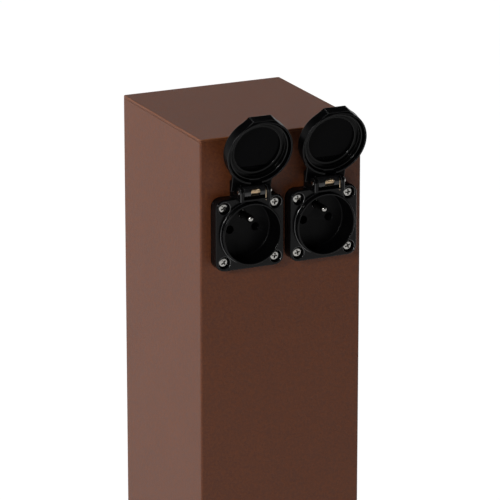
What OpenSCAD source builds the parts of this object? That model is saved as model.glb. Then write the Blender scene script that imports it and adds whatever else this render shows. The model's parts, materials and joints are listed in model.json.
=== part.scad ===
// Garden socket post: a sheet-metal post with two lidded panel sockets near its top.
// Millimetres, +Z up. The origin is the middle of the foot, on the ground, and the sockets face -Y.

/* [Post] */
// Width of the post, across the sockets
post_w = 120; // [116:1:200]
// Depth of the post, front to back
post_d = 130; // [116:1:200]
// Height of the post above the ground
post_h = 500; // [440:5:1200]
// Thickness of the post's sheet
post_wall = 2; // [1.5:0.1:3]
// Outside radius of the post's folded edges
post_edge_r = 1.5; // [1:0.1:4]
// Thickness of the welded top
top_t = 2; // [1.5:0.1:4]
// Distance between the two sockets' centres
socket_pitch = 55; // [53:0.5:64]
// Distance of the sockets' centres below the top
socket_drop = 66; // [60:0.5:120]

/* [Socket flange] */
// Side of the square flange
flange_w = 50; // [49:0.5:52]
// Thickness of the flange
flange_t = 7.8; // [6:0.1:10]
// Radius of the flange's corners
flange_corner_r = 6.5; // [4:0.5:8]
// Rounding of the flange's front edge
flange_fillet = 0.9; // [0.4:0.1:1.2]
// Thickness of the gasket behind the flange
gasket_t = 1.5; // [1:0.1:2.5]
// Distance between the flange's screws, both ways
screw_pitch = 38; // [37.5:0.1:39]
// Diameter of the flange screws
screw_d = 4; // [3:0.1:4.2]
// Length of the flange screws under the head
screw_l = 14; // [12:0.5:18]
// Diameter of a flange screw's head
screw_head_d = 7.5; // [6:0.1:8]
// Height of a flange screw's head
screw_head_h = 2.6; // [1.8:0.1:3]
// Depth of a screw head's recess in the flange
recess_depth = 4.2; // [3.2:0.1:4.6]

/* [Socket cup] */
// Diameter of the cup that the plug enters
cup_d = 40.7; // [40:0.1:41.2]
// Wall of the raised ring round the cup
ring_wall = 1.4; // [1:0.1:1.6]
// Rise of the ring above the flange
ring_rise = 4.3; // [3.5:0.1:5]
// Depth of the cup from the ring's top to its floor
cup_depth = 16.6; // [16:0.1:18]
// Thickness of the cup's floor
floor_t = 3; // [2.5:0.1:4]
// Distance between the two pin holes
pin_spacing = 19; // [18.5:0.1:19.5]
// Diameter of a pin hole
pin_hole_d = 5.4; // [5:0.1:5.8]
// Height of the earth pin above the line through the pin holes
earth_rise = 10; // [9.8:0.1:11]
// Diameter of the earth pin
earth_pin_d = 4.8; // [4:0.1:5]
// Distance of the earth pin's tip below the ring's top
earth_tip_drop = 2.1; // [1:0.1:4]

/* [Contact block] */
// Length of the contact block behind the cup's floor
block_l = 28; // [27:0.5:34]
// Diameter of the contact block
block_d = 42; // [41.6:0.1:42.2]
// Bore of a contact sleeve
sleeve_bore = 4.9; // [4.8:0.05:5.2]
// Wall of a contact sleeve
sleeve_wall = 0.85; // [0.6:0.05:1]
// Side of a terminal, across
terminal_w = 8.4; // [8:0.1:8.6]
// Length of a terminal
terminal_l = 10; // [9:0.5:10]
// Distance that the shutter slides
shutter_travel = 6; // [5.8:0.1:6.2]

/* [Hinge] */
// Height of the hinge axis above the flange's edge
hinge_rise = 5.7; // [5.6:0.1:7]
// Distance of the hinge axis in front of the flange
hinge_out = 5.5; // [5.2:0.1:6.2]
// Diameter of the hinge pin
hinge_pin_d = 3; // [2.6:0.1:3.2]
// Clearance round the hinge pin in the lid's barrel
hinge_play = 0.05; // [0.02:0.01:0.09]
// Thickness of a hinge ear
ear_t = 2.5; // [2:0.1:3]
// Space between the two ears
ear_space = 17.4; // [17:0.1:18]
// Radius of an ear round the pin
ear_r = 3.6; // [3.2:0.1:3.7]
// Wire of the lid's spring
lid_spring_wire = 0.8; // [0.6:0.05:0.85]

/* [Lid] */
// Gap between the raised ring and the lid's wall
lid_gap = 0.7; // [0.65:0.05:0.9]
// Wall of the lid
lid_wall = 1.25; // [1:0.05:1.5]
// Depth of the lid from its rim to its back
lid_depth = 9.2; // [9:0.1:10.5]
// Thickness of the lid's top
lid_top_t = 2.2; // [1.8:0.1:2.4]
// Rounding of the lid's back edge
lid_fillet = 2; // [1:0.1:2.4]
// Gap between the shut lid's rim and the flange
rim_gap = 2.6; // [2:0.1:3]
// Angle of the open lid from shut
lid_open = 165; // [150:1:168]
// Width of the lid's thumb tab at its edge
tab_w = 17; // [10:0.5:18]
// Reach of the thumb tab beyond the lid
tab_reach = 0.5; // [0.3:0.1:3]
// Half the width of the lid's neck
neck_half_w = 14.75; // [13:0.25:16]

/* [Foot] */
// Thickness of the foot's sheet
foot_t = 3; // [2:0.5:5]
// Height of the foot's upturned sides
foot_side_h = 32; // [28:1:60]
// Distance between the anchor holes, left to right
anchor_pitch_x = 76; // [60:1:80]
// Distance between the anchor holes, front to back
anchor_pitch_y = 90; // [70:1:96]
// Diameter of the anchor holes
anchor_d = 9; // [6:0.5:12]
// Diameter of the cable opening in the foot
cable_opening_d = 50; // [30:1:60]
// Height of the foot screws above the ground
foot_screw_z = 20; // [18:1:24]
// Distance between the two foot screws of a side
foot_screw_pitch = 70; // [40:1:90]
// Diameter of the foot screws
foot_screw_d = 6; // [5:0.5:6]

/* [Wiring] */
// Height of the terminal block's centre above the ground
terminal_z = 330; // [250:5:340]
// Distance between the terminal block's poles
pole_pitch = 13; // [12:0.5:14]
// Height of the earth stud above the ground
stud_z = 270; // [180:5:280]
// Diameter of the earth stud
stud_d = 6; // [5:0.5:8]
// Outside diameter of a wire
wire_d = 3; // [2.5:0.1:3.2]
// Diameter of a wire's bared core
core_d = 1.6; // [1.2:0.1:1.8]

/* [Hidden] */
$fn = 64;

// Colours
post_paint = "#6b4a38";
moulding = "#1c1c1e";
rubber = "#0e0e0f";
bright_steel = "#c9cbce";
zinc = "#b4b7ba";
brass = "#c9a04e";
insulation = "#2a2b2e";
block_grey = "#c8cbcd";

// Small clearances
fit_gap = 0.15;
thread_gap = 0.03;
slide_gap = 0.3;
eps = 0.01;

// Places on the wall: x to the right, y up and z out of the wall, from a socket's centre
socket_z = post_h - socket_drop;
flange_front = gasket_t + flange_t;
ring_top = flange_front + ring_rise;
cup_r = cup_d / 2;
ring_r = cup_r + ring_wall;
shell_wall = 1.85;
shell_r = block_d / 2 + fit_gap + 1.05;
cutout_r = shell_r + 0.6;
floor_z = ring_top - cup_depth;
floor_back = floor_z - floor_t;
ring_fillet = ring_wall * 0.4;
earth_stem_r = earth_pin_d / 2 + 0.3;
shell_back = floor_back - 8;
block_back = floor_back - block_l;
head_seat = flange_front - recess_depth;

// Contact block: what it holds
pocket_depth = 3.15;
shutter_t = 2.65;
shutter_half_w = pin_spacing / 2 + 3.4;
shutter_top = pin_hole_d / 2 + 0.5;
shutter_bottom = -4.5;
pocket_bottom = shutter_bottom - shutter_travel - slide_gap;
channel_bottom = pocket_bottom - 2;
channel_half_w = 1.7;
sleeve_r = sleeve_bore / 2 + sleeve_wall;
sleeve_front = floor_back - pocket_depth - 1;
sleeve_slit = 0.8;
sleeve_slit_l = 8;
terminal_half_h = 4;
port_spacing = 3.8;
port_depth = 8;
clamp_d = 3;
clamp_head_d = 4.8;
clamp_head_h = 2;
clamp_z = block_back + terminal_l / 2;
boss_r = 2.6;
boss_places = [[-12.2, 11.2], [12.2, 11.2], [0, channel_bottom - 3.4]];
block_screw_d = 2.5;
block_screw_head_d = 4.8;
block_screw_head_h = 1.9;

// Hinge and lid, with the lid shut
hinge_y = flange_w / 2 + hinge_rise;
hinge_z = flange_front + hinge_out;
rim_z = flange_front + rim_gap;
lid_back = rim_z + lid_depth;
lid_floor = lid_back - lid_top_t;
lid_in_r = ring_r + lid_gap;
lid_r = lid_in_r + lid_wall;
barrel_r = 3.7;
barrel_left = -(ear_space / 2 - 0.4);
barrel_right = ear_space / 2 - 1.3;
neck_under = max(hinge_z + barrel_r + 0.3, lid_floor);
neck_heel = 1;
neck_corner_y = hinge_y - 10;
stop_gap = 0.25;
stop_top = hinge_y + 3.5;
ear_foot = flange_w / 2 - 3;
ear_out = ear_space / 2 + ear_t;
crossbar_y = lid_r + 1;
crossbar_t = 1.1;
crossbar_top = hinge_z + 3.1;
spring_r = hinge_pin_d / 2 + lid_spring_wire / 2 + 0.15;
spring_hole_r = spring_r + lid_spring_wire / 2 + 0.2;
spring_curls = 8;
spring_left = -2.6;
spring_right = ear_space / 2 - 0.6;
spring_leg_end = crossbar_y - hinge_y - 0.4;
window_half_w = 3.3;

// Lid seal: a flat rubber ring on the lid's floor, with a lip that the ring's top presses on
seal_in = cup_r - 3.55;
seal_out = lid_in_r - 0.35;
seal_front = ring_top + 0.1;
seal_flat = lid_floor - 1.7;
lip_in = cup_r - 0.1;
lip_out = ring_r - 0.15;
seat_in = seal_in + 1;
seat_out = seat_in + 1.2;
seat_front = lid_floor - 0.9;

// Foot
foot_gap = 0.3;
foot_w = post_w - 2 * post_wall - 2 * foot_gap;
foot_d = post_d - 2 * post_wall - 8;
foot_nut_t = 5;
foot_nut_af = 10;

// Terminal block and its bracket on the rear wall
rear_y = post_d / 2 - post_wall;
bracket_t = 1.5;
bracket_stand = 8;
bracket_front = rear_y - bracket_stand;
pole_r = 3.4;
pole_bore = 1.2;
pole_l = 20;
terminal_block_w = 3 * pole_pitch + 3;
terminal_block_d = 18;
terminal_block_h = 22;
pole_y = bracket_front - terminal_block_d / 2;
pole_clamp_z = 5.5;
fixing_d = 3;

// Earth stud on the rear wall
stud_x = 26;
stud_l = 16;
lug_t = 1;
washer_t = 1.2;
stud_nut_t = 5;
lug_barrel_l = 9;

// Wires
core_l = 6;
wire_sides = 8;
wire_steps = 5;

// Two-dimensional helpers

module rounded_rect(w, h, r) {
    square([w - 2 * r, h], center = true);
    square([w, h - 2 * r], center = true);
    for (sx = [-1, 1], sy = [-1, 1])
        translate([sx * (w / 2 - r), sy * (h / 2 - r)]) circle(r);
}

// Half of a turned outline: a disc of radius r and thickness t, rounded by f at its front edge
module turned_edge(r, t, f) {
    square([r - f, t]);
    square([r, t - f]);
    translate([r - f, t - f]) circle(f);
}

// Outline of a bar w wide and t thick, rounded by f at both front edges
module bar_outline(w, t, f) {
    translate([-w / 2, 0]) square([w, t - f]);
    translate([-w / 2 + f, 0]) square([w - 2 * f, t]);
    for (s = [-1, 1])
        translate([s * (w / 2 - f), t - f]) circle(f);
}

module ring_outline(inner, outer, z0, z1) {
    translate([inner, z0]) square([outer - inner, z1 - z0]);
}

module hexagon(af) {
    circle(d = af / cos(30), $fn = 6);
}

// Three-dimensional helpers

// Extrudes along x an outline given as [y, z]
module along_x(length) {
    rotate([90, 0, 90]) linear_extrude(height = length, center = true) children();
}

// Extrudes along y an outline given as [x, z]
module along_y(length) {
    rotate([90, 0, 0]) linear_extrude(height = length, center = true) children();
}

// A plate with rounded corners and a rounded front edge
module filleted_plate(w, r, t, f) {
    for (sx = [-1, 1], sy = [-1, 1])
        translate([sx * (w / 2 - r), sy * (w / 2 - r), 0]) rotate_extrude() turned_edge(r, t, f);
    along_x(w - 2 * r) bar_outline(w, t, f);
    along_y(w - 2 * r) bar_outline(w, t, f);
}

// Puts its children on the front wall at a socket: side is -1 on the left and 1 on the right
module on_wall(side) {
    translate([side * socket_pitch / 2, -post_d / 2, socket_z]) rotate([90, 0, 0]) children();
}

// Turns the lid's pieces about the hinge axis from shut to open
module opened() {
    translate([0, hinge_y, hinge_z]) rotate([-lid_open, 0, 0]) translate([0, -hinge_y, -hinge_z]) children();
}

module at_flange_screws() {
    for (sx = [-1, 1], sy = [-1, 1])
        translate([sx * screw_pitch / 2, sy * screw_pitch / 2, 0]) children();
}

// A bored nut of thickness t whose bore clears a thread
module nut(af, t, thread) {
    difference() {
        linear_extrude(height = t) hexagon(af);
        translate([0, 0, -1]) cylinder(d = thread + 2 * thread_gap, h = t + 2);
    }
}

// A cross-head pan screw: its head rises from z 0 and its shank goes down
module pan_screw(d, length, head_d, head_h) {
    cross_w = head_d * 0.16;
    difference() {
        union() {
            rotate_extrude() {
                square([head_d / 2, head_h * 0.45]);
                intersection() {
                    square([head_d / 2, head_h]);
                    translate([0, head_h - head_d * 0.62]) circle(head_d * 0.62);
                }
            }
            translate([0, 0, -length]) cylinder(d = d, h = length + eps);
        }
        for (a = [45, 135])
            rotate([0, 0, a]) translate([0, 0, head_h]) cube([head_d * 0.6, cross_w, head_h * 1.2], center = true);
    }
}

// A tube swept along centres, each with its own pair of cross directions
function sweep_points(centres, us, vs, r, sides) =
    [for (i = [0 : len(centres) - 1], k = [0 : sides - 1])
        centres[i] + r * cos(360 * k / sides) * us[i] + r * sin(360 * k / sides) * vs[i]];

module swept_tube(centres, us, vs, r, sides) {
    n = len(centres);
    walls = [for (i = [0 : n - 2], k = [0 : sides - 1], half = [0, 1])
        let (a = i * sides + k, b = i * sides + (k + 1) % sides)
            half == 0 ? [a, b, b + sides] : [a, b + sides, a + sides]];
    first = [for (k = [1 : sides - 2]) [0, k + 1, k]];
    last = [for (k = [1 : sides - 2]) [(n - 1) * sides, (n - 1) * sides + k, (n - 1) * sides + k + 1]];
    polyhedron(points = sweep_points(centres, us, vs, r, sides), faces = concat(walls, first, last));
}

function unit(v) = v / norm(v);

// Post

module post_tube() {
    h = post_h - top_t;
    color(post_paint) difference() {
        linear_extrude(height = h) rounded_rect(post_w, post_d, post_edge_r);
        translate([0, 0, -1])
            linear_extrude(height = h + 2)
                rounded_rect(post_w - 2 * post_wall, post_d - 2 * post_wall, max(post_edge_r - post_wall, 0.5));
        for (side = [-1, 1])
            on_wall(side) translate([0, 0, -post_wall - 1]) {
                cylinder(r = cutout_r, h = post_wall + 2);
                at_flange_screws() cylinder(d = screw_d + 0.5, h = post_wall + 2);
            }
        at_foot_screws() translate([0, 0, -post_wall - 1]) cylinder(d = foot_screw_d + 0.6, h = post_wall + 2);
    }
}

module top_plate() {
    color(post_paint)
        translate([0, 0, post_h - top_t]) linear_extrude(height = top_t) rounded_rect(post_w, post_d, post_edge_r);
}

// Foot: a folded sheet inside the post, screwed to the post's sides

// Puts its children at the foot screws, on the outside of the side walls, z pointing outwards
module at_foot_screws() {
    for (side = [-1, 1], sy = [-1, 1])
        translate([side * post_w / 2, sy * foot_screw_pitch / 2, foot_screw_z]) rotate([0, side * 90, 0]) children();
}

module base_foot() {
    bend_r = foot_t;
    color(zinc) difference() {
        union() {
            translate([-foot_w / 2 + bend_r, -foot_d / 2, 0]) cube([foot_w - 2 * bend_r, foot_d, foot_t]);
            for (side = [-1, 1]) {
                translate([side * (foot_w / 2 - foot_t / 2), 0, (foot_side_h + bend_r) / 2])
                    cube([foot_t, foot_d, foot_side_h - bend_r], center = true);
                translate([side * (foot_w / 2 - bend_r), 0, bend_r]) rotate([90, 0, 0])
                    intersection() {
                        cylinder(r = bend_r, h = foot_d, center = true);
                        translate([side * bend_r / 2, -bend_r / 2, 0])
                            cube([bend_r, bend_r, foot_d], center = true);
                    }
            }
        }
        for (sx = [-1, 1], sy = [-1, 1])
            translate([sx * anchor_pitch_x / 2, sy * anchor_pitch_y / 2, -1]) cylinder(d = anchor_d, h = foot_t + 2);
        translate([0, 0, -1]) cylinder(d = cable_opening_d, h = foot_t + 2);
        at_foot_screws() translate([0, 0, -post_wall - foot_gap - foot_t - 1])
            cylinder(d = foot_screw_d + 0.4, h = foot_t + 2);
    }
}

module foot_screws() {
    color(bright_steel)
        at_foot_screws() pan_screw(foot_screw_d, 16, foot_screw_d * 1.9, foot_screw_d * 0.55);
}

module foot_nuts() {
    color(zinc)
        at_foot_screws() translate([0, 0, -post_wall - foot_gap - foot_t - foot_nut_t])
            nut(foot_nut_af, foot_nut_t, foot_screw_d);
}

// Terminal block inside the post, on a bracket that is welded to the rear wall

module terminal_bracket() {
    w = terminal_block_w + 4;
    h = terminal_block_h + 8;
    color(zinc) difference() {
        union() {
            translate([-w / 2, bracket_front, terminal_z - h / 2]) cube([w, bracket_t, h]);
            for (side = [-1, 1]) {
                translate([side * (w / 2 - bracket_t / 2) - bracket_t / 2, bracket_front, terminal_z - h / 2])
                    cube([bracket_t, bracket_stand, h]);
                translate([side * (w / 2 + 4) - 4 - side * bracket_t, rear_y - bracket_t, terminal_z - h / 2])
                    cube([8, bracket_t, h]);
            }
        }
        at_fixing_screws() translate([0, 0, -bracket_t - 1])
            cylinder(d = fixing_d + 2 * thread_gap, h = bracket_t + 2);
    }
}

// Puts its children at the block's fixing screws, on the bracket, z pointing to the front
module at_fixing_screws() {
    for (side = [-1, 1])
        translate([side * pole_pitch / 2, bracket_front, terminal_z]) rotate([90, 0, 0]) children();
}

// Puts its children at the block's clamp screws, on the block's front, z pointing to the front
module at_clamp_screws() {
    for (pole = [-1, 0, 1], sz = [-1, 1])
        translate([pole * pole_pitch, bracket_front - terminal_block_d, terminal_z + sz * pole_clamp_z])
            rotate([90, 0, 0]) children();
}

module terminal_block() {
    head_room = 4;
    color(block_grey) difference() {
        translate([-terminal_block_w / 2, bracket_front - terminal_block_d, terminal_z - terminal_block_h / 2])
            cube([terminal_block_w, terminal_block_d, terminal_block_h]);
        for (pole = [-1, 0, 1])
            translate([pole * pole_pitch, pole_y, terminal_z]) {
                cylinder(r = pole_r + fit_gap, h = pole_l, center = true);
                cylinder(d = wire_d + 0.6, h = terminal_block_h + 2, center = true);
            }
        at_clamp_screws() translate([0, 0, -terminal_block_d / 2])
            cylinder(d = clamp_head_d + 0.5, h = terminal_block_d);
        at_fixing_screws() {
            translate([0, 0, -1]) cylinder(d = fixing_d + 0.4, h = terminal_block_d + 2);
            translate([0, 0, terminal_block_d - head_room]) cylinder(d = 2 * fixing_d + 0.5, h = head_room + 1);
        }
    }
}

module terminal_sleeves() {
    color(brass) difference() {
        for (pole = [-1, 0, 1])
            translate([pole * pole_pitch, pole_y, terminal_z]) cylinder(r = pole_r, h = pole_l - 0.4, center = true);
        for (pole = [-1, 0, 1])
            translate([pole * pole_pitch, pole_y, terminal_z]) cylinder(r = pole_bore, h = pole_l + 2, center = true);
        at_clamp_screws() translate([0, 0, -terminal_block_d / 2])
            cylinder(d = clamp_d + 2 * thread_gap, h = terminal_block_d);
    }
}

module clamp_screws() {
    tip = terminal_block_d / 2 - core_d / 2 - 0.05;
    seat = terminal_block_d / 2 - pole_r - 0.2;
    color(bright_steel)
        at_clamp_screws() translate([0, 0, -seat])
            pan_screw(clamp_d, tip - seat, clamp_head_d, clamp_head_h);
}

module fixing_screws() {
    color(bright_steel)
        at_fixing_screws() translate([0, 0, terminal_block_d - 4])
            pan_screw(fixing_d, terminal_block_d - 4 + bracket_t + 3, 2 * fixing_d, 2.2);
}

// Earth stud inside the rear wall

// Puts its children at the stud, on the inside of the rear wall, z pointing to the front
module at_stud() {
    translate([stud_x, rear_y, stud_z]) rotate([90, 0, 0]) children();
}

module earth_stud() {
    color(bright_steel) at_stud() cylinder(d = stud_d, h = stud_l);
}

module earth_lug() {
    ring_out = stud_d / 2 + 3;
    barrel_out = wire_d / 2 + 0.9;
    color(bright_steel) at_stud() difference() {
        union() {
            cylinder(r = ring_out, h = lug_t);
            translate([-barrel_out, 0, 0]) cube([2 * barrel_out, ring_out + 1.5, lug_t]);
            translate([0, ring_out + 1, barrel_out]) rotate([-90, 0, 0]) cylinder(r = barrel_out, h = lug_barrel_l);
        }
        translate([0, 0, -1]) cylinder(d = stud_d + 0.3, h = lug_t + 2);
        translate([0, ring_out + 2, barrel_out]) rotate([-90, 0, 0]) cylinder(d = wire_d + 0.1, h = lug_barrel_l);
    }
}

module earth_washer() {
    color(bright_steel) at_stud() translate([0, 0, lug_t]) difference() {
        cylinder(r = stud_d / 2 + 2.6, h = washer_t);
        translate([0, 0, -1]) cylinder(d = stud_d + 0.3, h = washer_t + 2);
    }
}

module earth_nut() {
    color(bright_steel) at_stud() translate([0, 0, lug_t + washer_t]) nut(stud_d * 1.67, stud_nut_t, stud_d);
}

// Wires: each route is a list of points that a smooth curve goes through

// Points of a smooth curve through p, with n steps a stretch
function spline(p, n) = [for (i = [0 : len(p) - 2], k = [0 : n - 1])
        let (t = k / n,
            a = p[max(i - 1, 0)], b = p[i], c = p[i + 1], d = p[min(i + 2, len(p) - 1)])
        0.5 * (2 * b + (c - a) * t + (2 * a - 5 * b + 4 * c - d) * t * t
            + (3 * b - a - 3 * c + d) * t * t * t)];

// A wire's own curve: straight for one diameter at both ends
function wire_curve(p, start_dir, end_dir) =
    concat([p[0]], spline(concat([p[0] + start_dir * wire_d], [for (i = [1 : len(p) - 2]) p[i]],
        [p[len(p) - 1] - end_dir * wire_d]), wire_steps), [p[len(p) - 1] - end_dir * wire_d, p[len(p) - 1]]);

function tangents(c) = [for (i = [0 : len(c) - 1]) unit(c[min(i + 1, len(c) - 1)] - c[max(i - 1, 0)])];

// Cross directions carried along the curve, so that the tube doesn't twist
function carry(ts, u, i) = i >= len(ts) ? [] :
    let (w = unit(u - (u * ts[i]) * ts[i])) concat([w], carry(ts, w, i + 1));

module wire(p, start_dir, end_dir, tint) {
    c = wire_curve(p, start_dir, end_dir);
    inner = tangents(c);
    ts = [for (i = [0 : len(c) - 1]) i < 2 ? start_dir : (i > len(c) - 3 ? end_dir : inner[i])];
    us = carry(ts, [1, 0.02, 0.01], 0);
    vs = [for (i = [0 : len(ts) - 1]) cross(us[i], ts[i])];
    color(tint) {
        swept_tube(c, us, vs, wire_d / 2, wire_sides);
        bared_end(p[0], start_dir);
        bared_end(p[len(p) - 1], -end_dir);
    }
}

// The bared core at a wire's end, going from the point against the wire's direction
module bared_end(at, inward) {
    turn = [0, acos(-inward[2]), atan2(-inward[1], -inward[0])];
    translate(at) rotate(turn) translate([0, 0, -1]) cylinder(d = core_d, h = core_l + 1);
}

// Places where wires end

pole_foot = terminal_z - pole_l / 2;
port_y = -post_d / 2 - block_back;
function pole_top(pole) = [pole * pole_pitch, pole_y, terminal_z + pole_l / 2];
function port(side, x, up, half) =
    [side * socket_pitch / 2 + x + half * port_spacing / 2, port_y, socket_z + up];
up_dir = [0, 0, 1];
back_dir = [0, 1, 0];
line_x = -pin_spacing / 2;
neutral_x = pin_spacing / 2;

module feed_line() {
    wire([pole_top(-1), [-15, pole_y, terminal_z + 40], [-30, 30, socket_z - 29], [-38, 5, socket_z - 6],
        port(-1, line_x, 0, -1)],
        up_dir, -back_dir, "#6a3a1e");
}

module feed_earth() {
    wire([pole_top(0), [-3, pole_y, terminal_z + 45], [-18, 34, socket_z - 19], [-29, 8, socket_z + 8],
        port(-1, 0, earth_rise, -1)],
        up_dir, -back_dir, "#5c9a3c");
}

module feed_neutral() {
    wire([pole_top(1), [10, pole_y, terminal_z + 40], [-6, 30, socket_z - 32], [-19, 6, socket_z - 6],
        port(-1, neutral_x, 0, -1)],
        up_dir, -back_dir, "#2f5fa8");
}

// A link leaves a left port, dips or rises to one level behind the sockets and enters a right port
module link(x, up, level, back, tint) {
    a = port(-1, x, up, 1);
    b = port(1, x, up, -1);
    side = 7;
    wire([a, [a[0] + side / 2, port_y + back, (a[2] + level) / 2], [a[0] + 2 * side, port_y + back, level],
        [b[0] - 2 * side, port_y + back, level], [b[0] - side / 2, port_y + back, (b[2] + level) / 2], b],
        back_dir, -back_dir, tint);
}

module link_line() {
    link(line_x, 0, socket_z - 26, 11, "#6a3a1e");
}

module link_neutral() {
    link(neutral_x, 0, socket_z - 16, 19, "#2f5fa8");
}

module link_earth() {
    link(0, earth_rise, socket_z + 26, 13, "#5c9a3c");
}

module bond_wire() {
    barrel_out = wire_d / 2 + 0.9;
    end = [stud_x, rear_y - barrel_out, stud_z + stud_d / 2 + 3 + 1 + lug_barrel_l];
    wire([[0, pole_y, pole_foot], [3, pole_y, pole_foot - 14], [stud_x - 5, rear_y - 8, end[2] + 16], end],
        -up_dir, -up_dir, "#5c9a3c");
}

// Socket

module flange_gasket() {
    color(rubber) difference() {
        linear_extrude(height = gasket_t) rounded_rect(flange_w, flange_w, flange_corner_r);
        translate([0, 0, -1]) cylinder(r = shell_r + 0.3, h = gasket_t + 2);
        at_flange_screws() translate([0, 0, -1]) cylinder(d = screw_d + 0.4, h = gasket_t + 2);
    }
}

// The place on the open lid's outer face at distance t from the hinge, with the stop's gap, as [y, z]
function stop_at(t) =
    let (u = lid_back - hinge_z + stop_gap)
        [hinge_y + u * sin(lid_open) - t * cos(lid_open), hinge_z + u * cos(lid_open) + t * sin(lid_open)];

module ear_outline() {
    arm_top = hinge_y - ear_r / 2;
    arm_z = hinge_z - ear_r * cos(30);
    low = stop_at(-neck_heel - 0.2);
    high = stop_at(4);
    polygon([[ear_foot, gasket_t], [high[0], gasket_t], high, low, [arm_top, low[1]], [arm_top, arm_z],
        [hinge_y, hinge_z], [hinge_y, hinge_z + ear_r], [crossbar_y, hinge_z + ear_r],
        [crossbar_y, flange_front], [ear_foot, flange_front]]);
    translate([hinge_y, hinge_z]) circle(ear_r);
}

module hinge_bracket() {
    back_half_w = ear_out + 0.5;
    back_t = 3.1;
    back_top = stop_at(4)[0];
    for (side = [-1, 1])
        translate([side * (ear_space + ear_t) / 2, 0, 0]) along_x(ear_t) ear_outline();
    translate([-back_half_w, ear_foot, gasket_t]) cube([2 * back_half_w, back_top - ear_foot, back_t]);
    translate([0, crossbar_y + crossbar_t / 2, (gasket_t + crossbar_top) / 2])
        cube([ear_space + 1, crossbar_t, crossbar_top - gasket_t], center = true);
}

module socket_housing() {
    corner = 1.2;
    color(moulding) {
        difference() {
            union() {
                translate([0, 0, gasket_t]) filleted_plate(flange_w, flange_corner_r, flange_t, flange_fillet);
                translate([0, 0, gasket_t]) rotate_extrude()
                    turned_edge(ring_r, ring_top - gasket_t, ring_fillet);
                translate([0, 0, shell_back]) cylinder(r = shell_r, h = gasket_t - shell_back + 1);
                hinge_bracket();
            }
            translate([0, 0, floor_z]) cylinder(r = cup_r, h = cup_depth + 1);
            translate([0, 0, ring_top - ring_fillet]) rotate_extrude() translate([cup_r + ring_fillet, 0])
                rotate(90) difference() {
                    square(ring_fillet + eps);
                    circle(ring_fillet);
                }
            translate([0, 0, shell_back - 1]) cylinder(r = block_d / 2 + fit_gap, h = floor_back - shell_back + 1);
            for (side = [-1, 1])
                translate([side * pin_spacing / 2, 0, floor_back - 1]) cylinder(d = pin_hole_d, h = floor_t + 2);
            translate([0, earth_rise, floor_back - 1]) cylinder(r = earth_stem_r + 0.05, h = floor_t + 2);
            at_flange_screws() {
                translate([0, 0, gasket_t - 1]) cylinder(d = screw_d + 0.4, h = flange_t + 2);
                translate([0, 0, head_seat]) cylinder(d = screw_head_d + 1, h = recess_depth + 1);
            }
            translate([0, hinge_y, hinge_z]) rotate([0, 90, 0])
                cylinder(d = hinge_pin_d + 2 * thread_gap, h = 4 * ear_out, center = true);
            translate([spring_right, crossbar_y - 1, hinge_z + spring_r]) rotate([-90, 0, 0])
                cylinder(d = lid_spring_wire + 0.3, h = crossbar_t + 2);
        }
        translate([0, 0, floor_z - eps]) rotate_extrude() translate([cup_r - corner, 0]) difference() {
            square([corner + eps, corner]);
            translate([0, corner]) circle(corner);
        }
        for (place = boss_places)
            translate([place[0], place[1], shell_back]) difference() {
                cylinder(r = boss_r, h = floor_back - shell_back + eps);
                translate([0, 0, -1]) cylinder(d = block_screw_d + 2 * thread_gap, h = floor_back - shell_back);
            }
    }
}

// What sits in the contact block: kind 1 is the line contact, 2 the neutral contact, 0 the earth pin
contact_places = [[0, earth_rise], [-pin_spacing / 2, 0], [pin_spacing / 2, 0]];
clamp_turns = [1, -1, -1];

module contact_block() {
    pocket_h = pocket_depth + 1;
    color(insulation) difference() {
        translate([0, 0, block_back]) cylinder(d = block_d, h = block_l);
        for (place = boss_places) {
            translate([place[0], place[1], block_back - 1]) {
                cylinder(d = block_screw_d + 0.5, h = block_l + 2);
                cylinder(d = block_screw_head_d + 0.4, h = block_screw_head_h + 1.2);
            }
            translate([place[0], place[1], shell_back - 0.2])
                cylinder(r = boss_r + 0.2, h = floor_back - shell_back + 1);
        }
        for (i = [1, 2])
            translate([contact_places[i][0], contact_places[i][1], 0]) {
                translate([0, 0, sleeve_front - 2]) cylinder(d = pin_hole_d, h = 10);
                translate([0, 0, block_back]) cylinder(r = sleeve_r + fit_gap, h = sleeve_front + 0.1 - block_back);
            }
        translate([0, earth_rise, block_back]) {
            cylinder(r = earth_stem_r + fit_gap, h = block_l + 1);
            translate([0, 0, block_l - 3.1]) cylinder(d = earth_pin_d + 2.6, h = 4);
        }
        for (i = [0, 1, 2])
            translate([contact_places[i][0], contact_places[i][1], 0]) {
                translate([0, 0, block_back + terminal_l / 2 - 0.4])
                    cube([terminal_w + 0.4, 2 * terminal_half_h + 0.4, terminal_l + 1], center = true);
                translate([0, 0, clamp_z]) rotate([-90 * clamp_turns[i], 0, 0])
                    cylinder(d = clamp_head_d + 0.6, h = block_d);
            }
        translate([-shutter_half_w - 0.25, pocket_bottom, floor_back - pocket_depth])
            cube([2 * shutter_half_w + 0.5, shutter_top + slide_gap - pocket_bottom, pocket_h]);
        translate([-channel_half_w, channel_bottom, floor_back - pocket_depth])
            cube([2 * channel_half_w, pocket_bottom - channel_bottom + 1, pocket_h]);
    }
}

// A terminal with two wire ports at its back and a clamp screw across them
module terminal(turn) {
    translate([0, 0, block_back]) difference() {
        translate([-terminal_w / 2, -terminal_half_h, 0]) cube([terminal_w, 2 * terminal_half_h, terminal_l]);
        for (side = [-1, 1])
            translate([side * port_spacing / 2, 0, -1]) cylinder(d = core_d + 0.5, h = port_depth + 1);
        translate([0, 0, terminal_l / 2]) rotate([-90 * turn, 0, 0])
            cylinder(d = clamp_d + 2 * thread_gap, h = terminal_half_h + 1);
    }
}

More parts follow.
